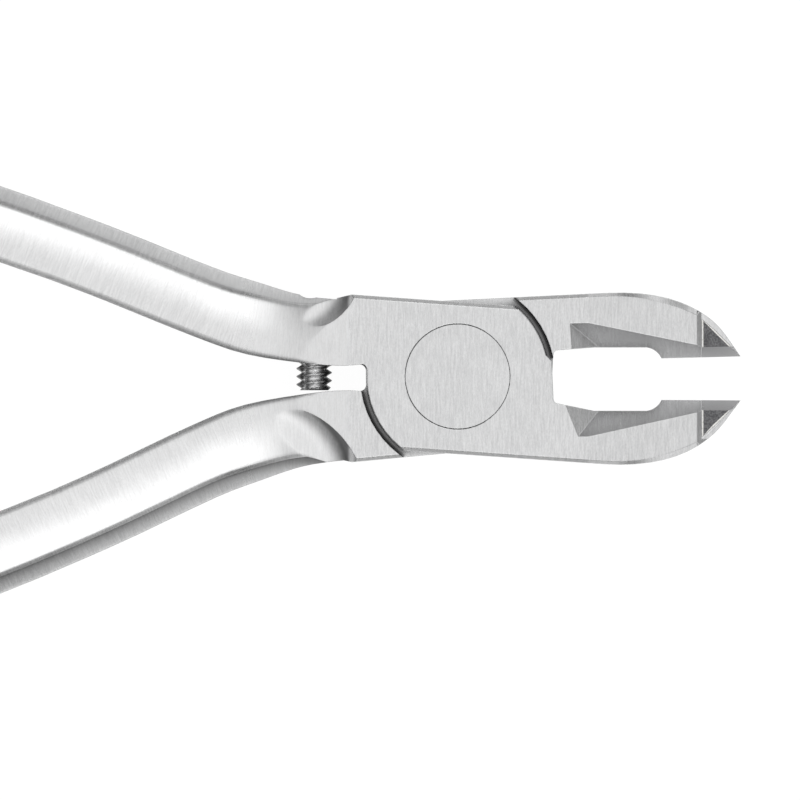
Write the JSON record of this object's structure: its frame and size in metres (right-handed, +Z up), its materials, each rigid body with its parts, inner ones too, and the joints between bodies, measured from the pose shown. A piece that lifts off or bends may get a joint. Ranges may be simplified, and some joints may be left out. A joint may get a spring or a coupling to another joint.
{
  "type": "orthodontic pliers",
  "caption": "Straight lap-joint orthodontic pliers in satin steel with a flush pivot, hard-metal jaw tips and a stop screw between the necks that limits closing.",
  "frame": {"origin": "on the pivot's axis, at the underside of the flush lap joint", "axes": "+X from the pivot to the jaw tips, -X along the handles, +Z up through the joint with the tool lying flat, +Y to the side of the handle that belongs to the top plate"},
  "size_m": [0.1353, 0.0572, 0.0062],
  "materials": {
    "lever_steel": "satin, fine brushed grain across the length",
    "rivet_steel": "ground flush with the head, fine brushed grain",
    "screw_steel": "bright turned thread",
    "hard_metal": "ground sintered carbide, matt and finely speckled",
    "braze": "bright silver braze"
  },
  "bodies": {
    "upper_half": {"upper_lever": "lever_steel", "pivot_rivet": "rivet_steel", "lower_jaw_tip": "hard_metal", "lower_tip_braze": "braze"},
    "lower_half": {"lower_lever": "lever_steel", "upper_jaw_tip": "hard_metal", "upper_tip_braze": "braze"},
    "screw": {"stop_screw": "screw_steel"}
  },
  "joints": [
    {"name": "lap_pivot", "type": "hinge", "parent": "upper_half", "child": "lower_half", "pos_m": [0, 0, 0.0031], "axis": [0, 0, 1], "range_deg": [0, 66]},
    {"name": "stop_screw_adjust", "type": "slide", "parent": "upper_half", "child": "screw", "axis": [0, 1, 0], "range_m": [0, 0.00127]}
  ]
}
